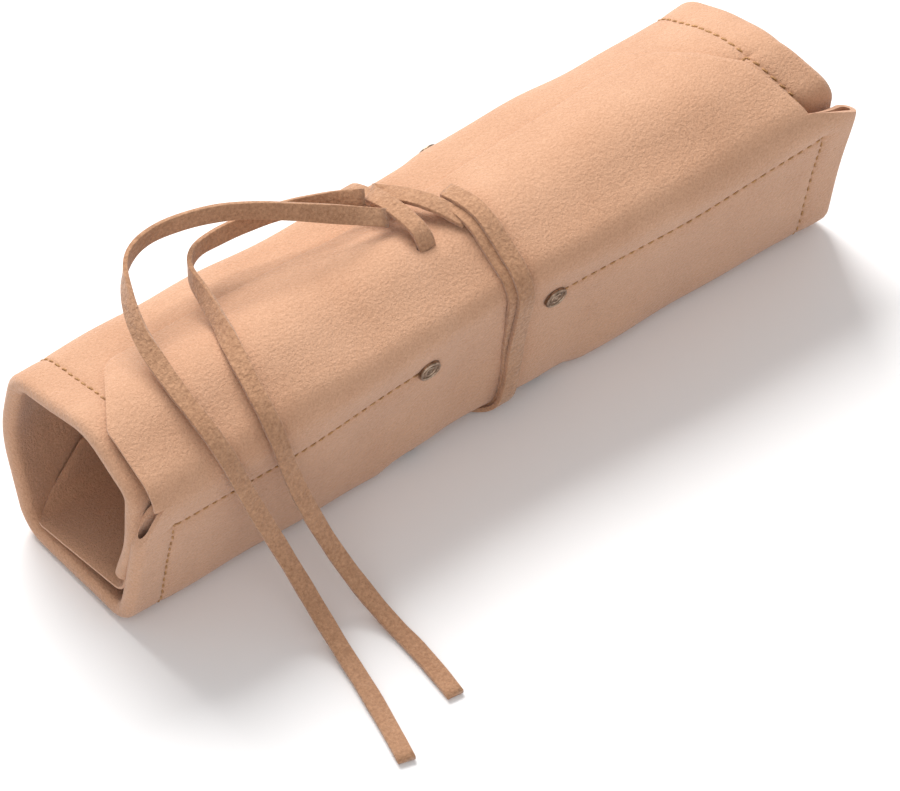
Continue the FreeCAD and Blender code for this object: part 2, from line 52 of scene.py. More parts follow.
# %% Driving sizes
LENGTH = 0.326
WALL = 0.0018
POCKET_GAP = 0.0004
RIM = 0.0036
RIM_IN = 0.0155
WAIST = 0.0044
RIVET_DIP = 0.0034
MOUTH_GAP = 0.050
RIVET_GAP = 0.058
WAIST_REACH = 0.095
FLAP_LEFT = 0.005
FLAP_RIGHT = LENGTH - 0.020
FLAP_CUT_X = 0.0215
FLAP_CUT_RUN = 0.0315
INNER_IN = 0.006
INNER_CUT_X = 0.028
SEAM_FIRST = 0.0165
SEAM_PITCH = 0.0615
SEAMS = 6
HOLE_RUN = 0.0285
HOLE_OFFSET = 0.0100
LACE_W = 0.007
LACE_T = 0.0019
HALF = LENGTH / 2
MIDDLE_Y = 0.004051
RIVET_X = (LENGTH - RIVET_GAP) / 2
MOUTH_X = (LENGTH - MOUTH_GAP) / 2
BODY = "root"
CORNERS = [
    (0.0188, 0.0883, 0.0),
    (-0.0070, 0.0970, 0.034),
    (-0.0420, 0.0790, 0.015),
    (-0.0280, 0.0000, 0.012),
    (0.0345, 0.0000, 0.016),
    (0.0500, 0.0420, 0.045),
    (0.0425, 0.0800, 0.015),
    (-0.0060, 0.0922, 0.028),
    (-0.0316, 0.0786, 0.011),
    (-0.0260, 0.0160, 0.009),
    (0.0325, 0.0075, 0.0075),
    (0.0385, 0.0270, 0.0),
]
ROOT_RISE = 0.005
print("roll", LENGTH, "leather", WALL, "lace", LACE_W)

# %% [markdown]
# ## The winding
# On the real roll the leather goes round in one line, from the flap's free edge inwards. It could be
# a curve shaped by hand, but straight runs joined by arcs keep it the same as the solid part. It is
# read off at an even step, with a unit normal that points out of the roll.


# %% Winding path
ARC_PARTS = 24
PATH_STEP = 0.0004


def arc_path(corners, closed=False, step=PATH_STEP):
    """Evenly spaced points round the corners, as an array of (y, z)."""
    pts = []
    count = len(corners)
    for i, (y, z, radius) in enumerate(corners):
        here = np.array([y, z])
        if not closed and i in (0, count - 1):
            pts.append(here)
            continue
        a = np.array(corners[i - 1][:2]) - here
        b = np.array(corners[(i + 1) % count][:2]) - here
        a /= np.linalg.norm(a)
        b /= np.linalg.norm(b)
        angle = math.acos(float(a @ b))
        mid = (a + b) / np.linalg.norm(a + b)
        centre = here + mid * (radius / math.sin(angle / 2))
        first = here + a * (radius / math.tan(angle / 2)) - centre
        turn = math.pi - angle
        for k in range(ARC_PARTS + 1):
            t = turn * k / ARC_PARTS
            pts.append(centre + np.array([first[0] * math.cos(t) - first[1] * math.sin(t),
                                          first[0] * math.sin(t) + first[1] * math.cos(t)]))
    if closed:
        pts.append(pts[0])
    pts = np.array(pts)
    run = np.concatenate([[0], np.cumsum(np.linalg.norm(np.diff(pts, axis=0), axis=1))])
    even = np.arange(0, run[-1], step)
    return np.stack([np.interp(even, run, pts[:, k]) for k in (0, 1)], axis=1)


class Winding:
    """Points and outward normals along the section, at any distance along it."""

    def __init__(self, corners, closed=False):
        pts = arc_path(corners, closed)
        pts[:, 0] -= MIDDLE_Y
        run = np.linalg.norm(np.diff(pts, axis=0), axis=1)
        self.run = np.concatenate([[0], np.cumsum(run)])
        self.length = float(self.run[-1])
        tangent = np.gradient(pts, axis=0)
        tangent /= np.linalg.norm(tangent, axis=1)[:, None]
        self.points = pts
        self.normals = np.stack([tangent[:, 1], -tangent[:, 0]], axis=1)

    def at(self, s):
        s = np.clip(np.asarray(s, float), 0, self.length)
        point = np.stack([np.interp(s, self.run, self.points[:, k]) for k in (0, 1)], axis=-1)
        normal = np.stack([np.interp(s, self.run, self.normals[:, k]) for k in (0, 1)], axis=-1)
        normal /= np.linalg.norm(normal, axis=-1)[..., None]
        return point, normal


spiral = Winding(CORNERS)
print("wound length", round(spiral.length, 4))


# %% Places along the winding
INNER_SHOULDER_BACK = 0.028


def corner_reach(before, here, after):
    """How far before a corner its arc starts, and the arc's length."""
    middle = np.array(here[:2])
    a = np.array(before[:2]) - middle
    b = np.array(after[:2]) - middle
    angle = math.acos(float(a @ b) / float(np.linalg.norm(a) * np.linalg.norm(b)))
    return here[2] / math.tan(angle / 2), here[2] * (math.pi - angle)


reach1, arc1 = corner_reach(*CORNERS[0:3])
reach2, arc2 = corner_reach(*CORNERS[1:4])
edge_to_crown = math.dist(CORNERS[0][:2], CORNERS[1][:2]) - reach1
crown_to_shoulder = math.dist(CORNERS[1][:2], CORNERS[2][:2]) - reach1 - reach2
ROOT = edge_to_crown + arc1 + crown_to_shoulder + arc2 - ROOT_RISE
SEAM_AT = [ROOT + SEAM_FIRST + SEAM_PITCH * i for i in range(SEAMS)]
INNER_ROOT = SEAM_AT[-1] + SEAM_FIRST
INNER_SHOULDER = SEAM_AT[-1] - INNER_SHOULDER_BACK
print("flap", round(ROOT, 4), "inner flap from", round(INNER_ROOT, 4))

# %% [markdown]
# ## The leather's surface
# One function gives every point of the sheet: a place along the winding, a place along the roll
# and a depth below the outer face. Sculpting would do it too, but then the stitches and the rivets
# would have to be put back on the leather by hand. The next cells build that function up.
#
# First the waist. The lace draws the roll in at the middle, and the leather slopes down to it from
# both rows of rivets.


# %% Waist
def smooth(x, low, high):
    t = np.clip((x - low) / (high - low), 0, 1)
    return t * t * (3 - 2 * t)


# Low down the roll's weight fills the waist out again: its slope is short there, and the
# front foot is hardly drawn in.
LOW_REACH = 0.045
LOW_HEIGHT = 0.03
FOOT_FREE = 0.6
FOOT_FACING = (0.75, 0.97)
FOOT_HEIGHT = (0.012, 0.045)
RIVET_EDGE = 0.004
MOUTH_NEAR = 0.001
MOUTH_FAR = 0.012


def waist_at(x, point, normal):
    """How far the lace draws the outer face in at a place along the roll."""
    near = np.minimum(x, LENGTH - x)
    low = 1 - smooth(point[..., 1], 0.0, LOW_HEIGHT)
    start = HALF - WAIST_REACH + (WAIST_REACH - LOW_REACH) * low
    drawn = RIVET_DIP * smooth(near, start, RIVET_X - RIVET_EDGE)
    drawn = drawn + (WAIST - RIVET_DIP) * smooth(near, MOUTH_X + MOUTH_NEAR, MOUTH_X + MOUTH_FAR)
    foot = smooth(-normal[..., 0], *FOOT_FACING) * (1 - smooth(point[..., 1], *FOOT_HEIGHT))
    return drawn * (1 - FOOT_FREE * foot)


print("waist drawn in by", WAIST, "and by", RIVET_DIP, "at the rivets")

# %% [markdown]
# ### Twist
# A roll wound by hand is never quite square: towards its right end the front has turned up round the
# winding. Turning the whole mesh would lift it off the table, so only the place along the winding
# that a point is read from moves.


# %% Twist
TWIST = 0.0090
TWIST_MOST = 1.05
TWIST_FROM = 0.018
TWIST_EASE = 0.006
TWIST_HOLD = 0.006
TWIST_GONE = 0.056


def twist(s, x):
    """How far back along the winding a place of the sheet has turned."""
    share = np.clip((x - LENGTH + RIVET_X - RIVET_EDGE) / (RIVET_X - RIM_IN), 0, TWIST_MOST)
    turned = smooth(s, TWIST_FROM, ROOT - TWIST_EASE)
    return TWIST * share * turned * (1 - smooth(s, SEAM_AT[0] + TWIST_HOLD, SEAM_AT[0] + TWIST_GONE))


print("right end turned by", TWIST)

# %% [markdown]
# ### Creases
# Thick hide has slow lumps, and it is pulled down at every seam, rivet and hole. A bump map would
# not show at the roll's edge, so the lumps and valleys are real shape, and the nap and the
# finest unevenness are left to the material.


# %% Creases
BROAD_LUMP = 0.00055
SLANTED_LUMP = 0.00035
CROSS_LUMP = 0.00030
SEAM_VALLEY = 0.00040
VALLEY_WIDE = 0.0024
SEAM_GROOVE = 0.00035
GROOVE_WIDE = 0.0007
SEAM_CALM = 0.007
SEAM_CALM_MOST = 0.9
SEAM_STARTS = (0.008, 0.016)
RIVET_BEFORE = 0.002
RIVET_AFTER = 0.006
RIVET_SPOT = 0.0058
RIVET_DIMPLE = 0.00035
SEWN_EASE = 0.003
RIM_VALLEY = 0.00035
RIM_VALLEY_WIDE = 0.0020
HOLE_SPOT = 0.0055
HOLE_DIMPLE = 0.0010


def creases(s, x):
    """Soft folds and unevenness, positive outwards, that fade out at rivets and seams."""
    lump = BROAD_LUMP * np.sin(s * 47 + x * 31 + 0.6) * np.sin(x * 24 - s * 18 + 1.1)
    lump += SLANTED_LUMP * np.sin(s * 96 - x * 61 + 2.0)
    lump += CROSS_LUMP * np.sin(x * 128 + 3.1 * np.sin(s * 40))
    calm = np.ones_like(lump)
    pull = np.zeros_like(lump)
    near = np.minimum(x, LENGTH - x)
    for i in range(SEAMS):
        off = s - SEAM_AT[i]
        along = smooth(near, *SEAM_STARTS) * (1 - smooth(near, RIVET_X - RIVET_BEFORE, RIVET_X + RIVET_AFTER))
        valley = SEAM_VALLEY * np.exp(-(off / VALLEY_WIDE) ** 2)
        groove = SEAM_GROOVE * np.exp(-(off / GROOVE_WIDE) ** 2)
        pull -= (valley + groove) * along
        calm *= 1 - SEAM_CALM_MOST * np.exp(-(off / SEAM_CALM) ** 2) * along
        spot = np.exp(-(((s - SEAM_AT[i]) ** 2 + (near - RIVET_X) ** 2) / RIVET_SPOT ** 2))
        pull -= RIVET_DIMPLE * spot
        calm *= 1 - spot
    sewn = smooth(s, SEAM_AT[0] - SEWN_EASE, SEAM_AT[0])
    sewn = sewn * (1 - smooth(s, SEAM_AT[-1], SEAM_AT[-1] + SEWN_EASE))
    line = np.exp(-((near - RIM_IN) / RIM_VALLEY_WIDE) ** 2) + np.exp(-((near - RIM_IN) / GROOVE_WIDE) ** 2)
    pull -= RIM_VALLEY * line * sewn
    hole = ((s - HOLE_RUN) ** 2 + (x - HALF + HOLE_OFFSET) ** 2) / HOLE_SPOT ** 2
    pull -= HOLE_DIMPLE * np.exp(-hole)
    return lump * calm + pull


print("valleys", SEAM_VALLEY + SEAM_GROOVE, "deep at the seams")

# %% [markdown]
# ### Slip, sink and lean
# The turns slide over each other, so the back and the top end short of the front wall at the right.
# The back shoulder has sunk a little, and the inner turn leans on the front wall at the left. These
# are small, smooth moves of finished points, so they come last.


# %% Surface function
# Each pair is a place across the roll and how far the sheet has slipped there.
SLIPS = [(-0.046, -0.0040), (-0.040, -0.0030), (-0.008, 0.0088), (0.035, 0.0140)]
SLIP_FROM = LENGTH - 0.115
SUNK = 0.0035
SINK_ALONG = (HALF + 0.035, HALF + 0.095)
SINK_BACK = (0.008, 0.040)
SINK_HIGH = (0.045, 0.080)
LEAN = 0.0030
LEAN_ROUND = 0.030
LEAN_ALONG = (0.004, 0.070)
LEAN_HIGH = (0.020, 0.050)


def surface(s, x, depth):
    """Points of the sheet in the frame, for arrays of the same shape."""
    point, normal = spiral.at(s - twist(s, x))
    down = depth + waist_at(x, point, normal) - creases(s, x)
    y = point[..., 0] - normal[..., 0] * down
    z = point[..., 1] - normal[..., 1] * down
    slipped = np.interp(y + MIDDLE_Y, [place for place, slip in SLIPS], [slip for place, slip in SLIPS])
    sinking = smooth(x, *SINK_ALONG)
    sunk = SUNK * sinking * smooth(y, *SINK_BACK) * smooth(z, *SINK_HIGH)
    inner = smooth(s, INNER_SHOULDER - LEAN_ROUND, INNER_SHOULDER)
    lean = LEAN * inner * (1 - smooth(x, *LEAN_ALONG)) * smooth(z, *LEAN_HIGH)
    return np.stack([x - HALF - slipped * smooth(x, SLIP_FROM, LENGTH), y - sunk - lean,
                     np.maximum(z - sunk, 0.0)], axis=-1)


print("slip at the right end", SLIPS[-1][1], "sunk", SUNK, "lean", LEAN)

# %% [markdown]
# ## Building helpers
# Leather, stitches and lace are all outlines carried along a line, so they share a few helpers: one
# makes an object from points and faces, one joins rows of points into quads, and two space points
# out. Blender's own curve bevel could carry an outline, but not one that changes along its way.

# %% Mesh helpers
def new_mesh(name, verts, faces, smooth_faces=True):
    mesh = bpy.data.meshes.new(name)
    mesh.from_pydata([tuple(v) for v in verts], [], faces)
    mesh.validate()
    mesh.update()
    if smooth_faces:
        mesh.polygons.foreach_set("use_smooth", [True] * len(mesh.polygons))
    obj = bpy.data.objects.new(name, mesh)
    bpy.context.scene.collection.objects.link(obj)
    return obj


def grid_faces(rows, cols, wrap, base=0):
    faces = []
    last = cols if wrap else cols - 1
    for i in range(rows - 1):
        for j in range(last):
            k = (j + 1) % cols
            faces.append((base + i * cols + j, base + i * cols + k,
                          base + (i + 1) * cols + k, base + (i + 1) * cols + j))
    return faces


def spaced(start, end, step):
    count = max(2, int(round(abs(end - start) / step)) + 1)
    return list(np.linspace(start, end, count))


def arc(cx, cd, radius, start, end, count):
    out = []
    for k in range(count):
        t = math.radians(start + (end - start) * k / (count - 1))
        out.append((cx + radius * math.cos(t), cd + radius * math.sin(t)))
    return out


print("helpers ready")

# %% [markdown]
# ## The leather sheet
# The body is a closed outline carried along the winding: outer layer, both rims and both pocket
# layers. A flat sheet given a thickness would be quicker, but its folds would cut into themselves,
# so the outline has the folded rims in it from the start.


# %% Leather outline
X_STEP = 0.0025
EDGE_R = 0.00045
GROOVE = (-0.0019, -0.0012, -0.0007, -0.0003, 0.0, 0.0003, 0.0007, 0.0012, 0.0019)
GROOVE_CLEAR = 0.0022
ROUND_POINTS = 13


def around(places, line):
    """A list of places with extra ones close to a stitched line, where the leather is pulled in."""
    if not min(places) < line < max(places):
        return places
    kept = [p for p in places if abs(p - line) > GROOVE_CLEAR]
    return sorted(kept + [line + g for g in GROOVE], reverse=places[0] > places[-1])


def run_of(start, end, depth_start, depth_end):
    """Points of one leather face from start to end, closer together at the rim's stitches."""
    places = around(around(spaced(start, end, X_STEP), RIM_IN), LENGTH - RIM_IN)
    share = [(x - start) / (end - start) for x in places]
    return [(x, depth_start + (depth_end - depth_start) * u) for x, u in zip(places, share)]


def body_outline():
    """(x, depth) round the sheet's section, in the same order as it is cut and folded."""
    total = 2 * WALL + POCKET_GAP
    under = WALL + POCKET_GAP
    hollow = RIM - WALL
    far = LENGTH - RIM
    lip = LENGTH - MOUTH_X
    out = run_of(RIM, far, 0.0, 0.0)
    out += arc(far, RIM, RIM, -90, 90, ROUND_POINTS)[1:]
    out += run_of(far, LENGTH - RIM_IN, 2 * RIM, total)[1:]
    out += run_of(LENGTH - RIM_IN, lip + EDGE_R, total, total)[1:]
    out += [(lip, total - EDGE_R), (lip, under + EDGE_R)]
    out += run_of(lip + EDGE_R, LENGTH - RIM_IN, under, under)
    out += run_of(LENGTH - RIM_IN, far, under, RIM + hollow)[1:]
    out += arc(far, RIM, hollow, 90, -90, ROUND_POINTS)[1:]
    out += run_of(far, RIM, WALL, WALL)[1:]
    out += arc(RIM, RIM, hollow, 270, 90, ROUND_POINTS)[1:]
    out += run_of(RIM, RIM_IN, RIM + hollow, under)[1:]
    out += run_of(RIM_IN, MOUTH_X - EDGE_R, under, under)[1:]
    out += [(MOUTH_X, under + EDGE_R), (MOUTH_X, total - EDGE_R)]
    out += run_of(MOUTH_X - EDGE_R, RIM_IN, total, total)
    out += run_of(RIM_IN, RIM, total, 2 * RIM)[1:]
    out += arc(RIM, RIM, RIM, 90, 270, ROUND_POINTS)[1:-1]
    return np.array(out)


outline = body_outline()
print("outline", len(outline), "points")


# %% Cut ends and slanted margins
def strip_cap(outer, inner, flip):
    """Quads that close the cut end of a layer, between its two faces, point by point."""
    faces = []
    for k in range(len(outer) - 1):
        quad = (outer[k], outer[k + 1], inner[k + 1], inner[k])
        faces.append(tuple(reversed(quad)) if flip else quad)
    return faces


# The folded margins start below the flap, on a slant from its root to the fold.
NOTCH_LEFT = 0.0235
NOTCH_RIGHT = 0.012
NOTCH_FADE = 0.036
NOTCH_EASE = 0.002


def notch_at(x):
    """How far past the flap's root the sheet starts at a place along the roll."""
    left = NOTCH_LEFT * np.clip(1 - x / (FLAP_LEFT + NOTCH_EASE), 0, 1)
    right = NOTCH_RIGHT * np.clip((x - FLAP_RIGHT) / (LENGTH - FLAP_RIGHT), 0, 1)
    return left + right


print("margins start", NOTCH_LEFT, "and", NOTCH_RIGHT, "below the flap's root")

# %% Leather body
S_STEP = 0.0022
stations = spaced(ROOT, INNER_ROOT, S_STEP)
for seam in SEAM_AT:
    stations = around(stations, seam)
ring = len(outline)
v_grid, x_grid = np.meshgrid(stations, outline[:, 0], indexing="ij")
d_grid = np.tile(outline[:, 1], (len(stations), 1))
past = v_grid - ROOT
s_grid = v_grid + notch_at(x_grid) * np.clip(1 - past / NOTCH_FADE, 0, 1)
body_verts = surface(s_grid, x_grid, d_grid).reshape(-1, 3)
body_faces = grid_faces(len(stations), ring, True)
# The section is one long strip folded twice: its outer face runs from lip to lip, and its inner
# face back again, with two lip points between them at each end.
half_ring = ring // 2
lip_off = np.abs(outline[:, 0] - MOUTH_X + EDGE_R)
lip_off = lip_off + np.abs(outline[:, 1] - 2 * WALL - POCKET_GAP)
first_lip = int(np.argmin(lip_off))
outer_side = [(first_lip - 1 + k) % ring for k in range(half_ring)]
inner_side = [(first_lip - 2 - k) % ring for k in range(half_ring)]
for base, flip in ((0, True), ((len(stations) - 1) * ring, False)):
    body_faces += strip_cap([base + k for k in outer_side], [base + k for k in inner_side], flip)
leather_body = new_mesh("leather_sheet_body", body_verts, body_faces)
print("body", len(body_verts), "points")

# %% [markdown]
# ### The flaps
# The closing flap and the inner flap are single leather with cut corners. They could be part of the
# body's outline, but they have no folded margins, so each is a closed layer of its own that is joined to
# the body later. Their rows are closer together at the free edge, which is rounded.


# %% Leather flaps
FLAP_COLUMNS = 131


def single_layer(name, rows, sides, fine_end):
    """A closed single layer; sides(s) gives its two side edges, and fine_end rounds its free edge."""
    share = np.linspace(0, 1, FLAP_COLUMNS)
    share = np.concatenate([share, share[::-1]])
    last = 2 * FLAP_COLUMNS - 1
    verts = []
    for s in rows:
        left, right = sides(s)
        x = left + share * (right - left)
        depth = np.concatenate([np.zeros(FLAP_COLUMNS), np.full(FLAP_COLUMNS, WALL)])
        depth[[0, FLAP_COLUMNS - 1]] = EDGE_R
        depth[[FLAP_COLUMNS, last]] = WALL - EDGE_R
        pinch = (1 - min(1.0, abs(s - fine_end) / EDGE_R)) * EDGE_R
        depth = np.where(depth < WALL / 2, depth + pinch, depth - pinch)
        verts.append(surface(np.full(last + 1, s), x, depth))
    faces = grid_faces(len(rows), last + 1, True)
    top = list(range(FLAP_COLUMNS))
    under = [last - k for k in top]
    for base, flip in ((0, True), ((len(rows) - 1) * (last + 1), False)):
        faces += strip_cap([base + k for k in top], [base + k for k in under], flip)
    return new_mesh(name, np.concatenate(verts), faces)


CORNER_ROUND = 0.0035
CORNER_RUN = 0.004


def flap_sides(s):
    """The closing flap's side edges: cut corners, then nearly straight down to the root."""
    cut = FLAP_CUT_X * np.clip((FLAP_CUT_RUN - s) / FLAP_CUT_RUN, 0, 1)
    cut += CORNER_ROUND * np.clip((CORNER_RUN - s) / CORNER_RUN, 0, 1) ** 2
    return FLAP_LEFT + cut, FLAP_RIGHT - cut


INNER_CUT_RUN = 0.024
INNER_LEFT = 0.0015


def inner_sides(s):
    """The inner flap's side edges, with its own cut corners at the free end."""
    share = np.clip(1 - (spiral.length - s) / INNER_CUT_RUN, 0, 1)
    cut = INNER_CUT_X * share
    return INNER_LEFT + cut, LENGTH - INNER_IN - cut


EDGE_ZONE = 0.004
free_edge = [0.0, 0.0002, EDGE_R, 0.0012, 0.0022]
leather_flap = single_layer("leather_sheet_flap", free_edge + spaced(EDGE_ZONE, ROOT, S_STEP),
                            flap_sides, 0.0)
end = spiral.length
inner_rows = spaced(INNER_ROOT, end - EDGE_ZONE, S_STEP) + [end - e for e in reversed(free_edge)]
leather_inner = single_layer("leather_sheet_inner", inner_rows, inner_sides, end)
print("flap", len(leather_flap.data.vertices), "inner flap", len(leather_inner.data.vertices))

# %% [markdown]
# ### The lace hole
# The lace comes up through a punched slot near the flap's edge. A slot could be left out of the
# grid, but its edge would be jagged, so an oval punch cuts it as the real tool does.

# %% Lace hole
HOLE_LONG = 0.0040
HOLE_SHORT = 0.0021
PUNCH_REACH = 0.004
PUNCH_SIDES = 24
hole_place = surface(np.array([HOLE_RUN]), np.array([HALF - HOLE_OFFSET]), np.array([0.0]))[0]
hole_normal = spiral.at(HOLE_RUN)[1]
turns = [math.pi * k / (PUNCH_SIDES / 2) for k in range(PUNCH_SIDES)]
oval = [(HOLE_LONG * math.cos(turn), HOLE_SHORT * math.sin(turn)) for turn in turns]
punch_points = [(x, y, z) for z in (-PUNCH_REACH, PUNCH_REACH) for x, y in oval]
punch_faces = [tuple(reversed(range(PUNCH_SIDES))), tuple(range(PUNCH_SIDES, 2 * PUNCH_SIDES))]
for k in range(PUNCH_SIDES):
    after = (k + 1) % PUNCH_SIDES
    punch_faces.append((k, after, PUNCH_SIDES + after, PUNCH_SIDES + k))
punch = new_mesh("punch", punch_points, punch_faces)
punch.location = hole_place
punch.rotation_euler = (math.atan2(-hole_normal[0], hole_normal[1]), 0, 0)
bpy.context.view_layer.update()
cutting = leather_flap.modifiers.new("hole", "BOOLEAN")
cutting.operation = "DIFFERENCE"
cutting.solver = "EXACT"
cutting.object = punch
bpy.context.view_layer.objects.active = leather_flap
bpy.ops.object.modifier_apply(modifier="hole")
bpy.data.objects.remove(punch)
print("hole cut,", len(leather_flap.data.vertices), "points")

# %% [markdown]
# ## Stitches
# Each stitch is a short bent length of twisted thread. It lies in the valley of its seam, dips into
# the leather at both ends and slants a little, as a saddle stitch does. A dashed line in a material
# would be lighter, but stitches catch the light, so each one is a small closed mesh.


# %% One stitch
THREAD_R = 0.00040
STITCH = 0.0041
STITCH_RINGS = 7
STITCH_SIDES = 8
STITCH_PROUD = 0.00030
STITCH_DIP = 0.0011
THREAD_TAPER = 0.25
THREAD_FLAT = 1.12


def stitch_rings(centre, along, side, up, length, slant):
    """Rings of points for one stitch."""
    rings = []
    for k in range(STITCH_RINGS):
        t = k / (STITCH_RINGS - 1) - 0.5
        lift = STITCH_PROUD - STITCH_DIP * (2 * t) ** 4
        spot = centre + along * (t * length) + side * (slant * t * length) + up * lift
        radius = THREAD_R * (1.0 - THREAD_TAPER * (2 * t) ** 2)
        ring_pts = []
        for j in range(STITCH_SIDES):
            a = 2 * math.pi * j / STITCH_SIDES
            ring_pts.append(spot + side * (radius * THREAD_FLAT * math.cos(a)) + up * (radius * math.sin(a)))
        rings.append(ring_pts)
    return rings


print("stitch", STITCH, "thread", 2 * THREAD_R)

# %% Sewing
PROBE = 0.001
STRAY = 0.00012
STITCH_SHARE = 0.78
STITCH_VARY = 0.07
SLANT = 0.15
SLANT_VARY = 0.07
SUNK_INSIDE = 0.0010
TABLE_NEAR = 0.0015
SUNK_UNDER = 0.0004


def sew(name, places, node):
    """places are (s, x, inside, along the winding?) for each stitch of one seam."""
    verts = []
    faces = []
    for s, x, inside, round_seam in places:
        depth = (2 * WALL + POCKET_GAP) if inside else 0.0
        here = surface(np.array([s]), np.array([x]), np.array([depth]))[0]
        if round_seam:
            there = surface(np.array([s + PROBE]), np.array([x]), np.array([depth]))[0]
        else:
            there = surface(np.array([s]), np.array([x + PROBE]), np.array([depth]))[0]
        normal = spiral.at(s)[1]
        up = np.array([0, normal[0], normal[1]]) * (-1 if inside else 1)
        along = (there - here) / np.linalg.norm(there - here)
        side = np.cross(up, along)
        jitter = rng.normal(0, 1, 3)
        here = here + side * (jitter[0] * STRAY)
        length = STITCH * (STITCH_SHARE + STITCH_VARY * jitter[1])
        slant = SLANT + SLANT_VARY * jitter[2]
        if inside and round_seam:
            here = here - up * SUNK_INSIDE
        elif here[2] < TABLE_NEAR:
            here = here - up * SUNK_UNDER
        base = len(verts)
        for ring_pts in stitch_rings(here, along, side, up, length, slant):
            verts += ring_pts
        faces += grid_faces(STITCH_RINGS, STITCH_SIDES, True, base)
        last = base + (STITCH_RINGS - 1) * STITCH_SIDES
        faces.append(tuple(base + k for k in reversed(range(STITCH_SIDES))))
        faces.append(tuple(last + k for k in range(STITCH_SIDES)))
    obj = new_mesh(name, verts, faces)
    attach(obj, BODY)
    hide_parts(node)
    return obj


SEAM_END = 0.002
RIVET_CLEAR = 0.0056
seam_stitches = []
for i in range(SEAMS):
    runs = {"left": (RIM_IN + SEAM_END, RIVET_X - RIVET_CLEAR)}
    runs["right"] = (LENGTH - runs["left"][1], LENGTH - runs["left"][0])
    for side_name, (low, high) in runs.items():
        spots = spaced(low, high, STITCH)
        spots = [(SEAM_AT[i], x, inside, False) for inside in (False, True) for x in spots]
        node = f"seam_thread_{side_name}_{i + 1}"
        seam_stitches.append(sew(f"stitches_{side_name}_{i + 1}", spots, node))
for side_name, x in (("left", RIM_IN), ("right", LENGTH - RIM_IN)):
    spots = spaced(SEAM_AT[0], SEAM_AT[-1], STITCH)
    spots = [(s, x, inside, True) for inside in (False, True) for s in spots]
    seam_stitches.append(sew(f"rim_stitches_{side_name}", spots, f"rim_thread_{side_name}"))
print("seams sewn", len(seam_stitches))

# %% [markdown]
# ## The lace
# A flat thong of rough suede. Two strands go round the waist. A third stretch comes up through the
# flap's hole, folds back over the tails and tucks under the strands, and two tails stand up from the
# knot and fall over the front onto the table. A curve with a flat bevel turns over by itself at
# bends, so each stretch is a ribbon mesh whose width direction is given point by point.


# %% Ribbon
LACE_CORNER = 0.00035
CUT_SIDE_SHARE = 0.93
SLOW_WIDTH = 0.02
QUICK_WIDTH = 0.015


def ribbon_section(width, thick):
    """A flat section with softened edges, as (across, up) pairs."""
    w = width / 2
    t = thick / 2
    r = LACE_CORNER
    out = []
    corners = ((w - r, t - r, 0), (-w + r, t - r, 90), (-w + r, -t + r, 180), (w - r, -t + r, 270))
    for cx, cy, start in corners:
        out += arc(cx, cy, r, start, start + 90, 4)
    return out


def ribbon(name, points, sides, seed):
    """A flat lace along points, with the direction of its width given at each."""
    section = ribbon_section(LACE_W, LACE_T)
    count = len(points)
    verts = []
    for i in range(count):
        low = points[max(0, i - 1)]
        high = points[min(count - 1, i + 1)]
        along = (high - low).normalized()
        side = (sides[i] - along * sides[i].dot(along)).normalized()
        up = side.cross(along)
        grow = 1 + SLOW_WIDTH * math.sin(i * 0.37) + QUICK_WIDTH * math.sin(i * 0.91 + seed)
        for a, b in section:
            verts.append(points[i] + side * (a * grow) + up * b)
    faces = grid_faces(count, len(section), True)
    faces.append(tuple(reversed(range(len(section)))))
    faces.append(tuple((count - 1) * len(section) + k for k in range(len(section))))
    obj = new_mesh(name, verts, faces)
    # The cut sides take a material of their own, painted paler as a highlight: two faces of the section, with
    # their soft corners.
    ring_size = len(section)
    cut_sides = []
    for j in range(ring_size):
        if abs(section[j][0] + section[(j + 1) % ring_size][0]) > LACE_W * CUT_SIDE_SHARE:
            cut_sides.append(j)
    for face in obj.data.polygons:
        if face.index < (count - 1) * ring_size and face.index % ring_size in cut_sides:
            face.material_index = 1
    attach(obj, BODY)
    return obj


print("lace section", len(ribbon_section(LACE_W, LACE_T)), "points")


# %% A route's line
def to_frame(points):
    return [Vector((x - HALF, y - MIDDLE_Y, z)) for x, y, z, *side in points]


def nurbs_line(name, points):
    """The route's own smooth line: its points are control points, and its ends are held."""
    curve = bpy.data.curves.new(name, "CURVE")
    curve.dimensions = "3D"
    curve.resolution_u = 12
    spline = curve.splines.new("NURBS")
    spline.points.add(len(points) - 1)
    for spot, place in zip(spline.points, to_frame(points)):
        spot.co = (*place, 1)
    spline.order_u = 3
    spline.use_endpoint_u = True
    obj = bpy.data.objects.new(name, curve)
    bpy.context.scene.collection.objects.link(obj)
    bpy.context.view_layer.update()
    line = bpy.data.meshes.new_from_object(obj)
    out = [v.co.copy() for v in line.vertices]
    bpy.data.objects.remove(obj)
    bpy.data.meshes.remove(line)
    return out


def sides_along(line, points):
    """The width's direction at each point of the line, blended between the route's own."""
    places = to_frame(points)
    keys = []
    for place in places:
        keys.append(min(range(len(line)), key=lambda i: (line[i] - place).length))
    keys[0] = 0
    keys[-1] = len(line) - 1
    out = []
    for i in range(len(line)):
        k = 0
        while k < len(keys) - 2 and i > keys[k + 1]:
            k += 1
        t = (i - keys[k]) / max(1, keys[k + 1] - keys[k])
        t = t * t * (3 - 2 * t)
        a = Vector(points[k][3:6]).normalized()
        b = Vector(points[k + 1][3:6]).normalized()
        out.append(a.lerp(b, t))
    return out


print("route helpers ready")
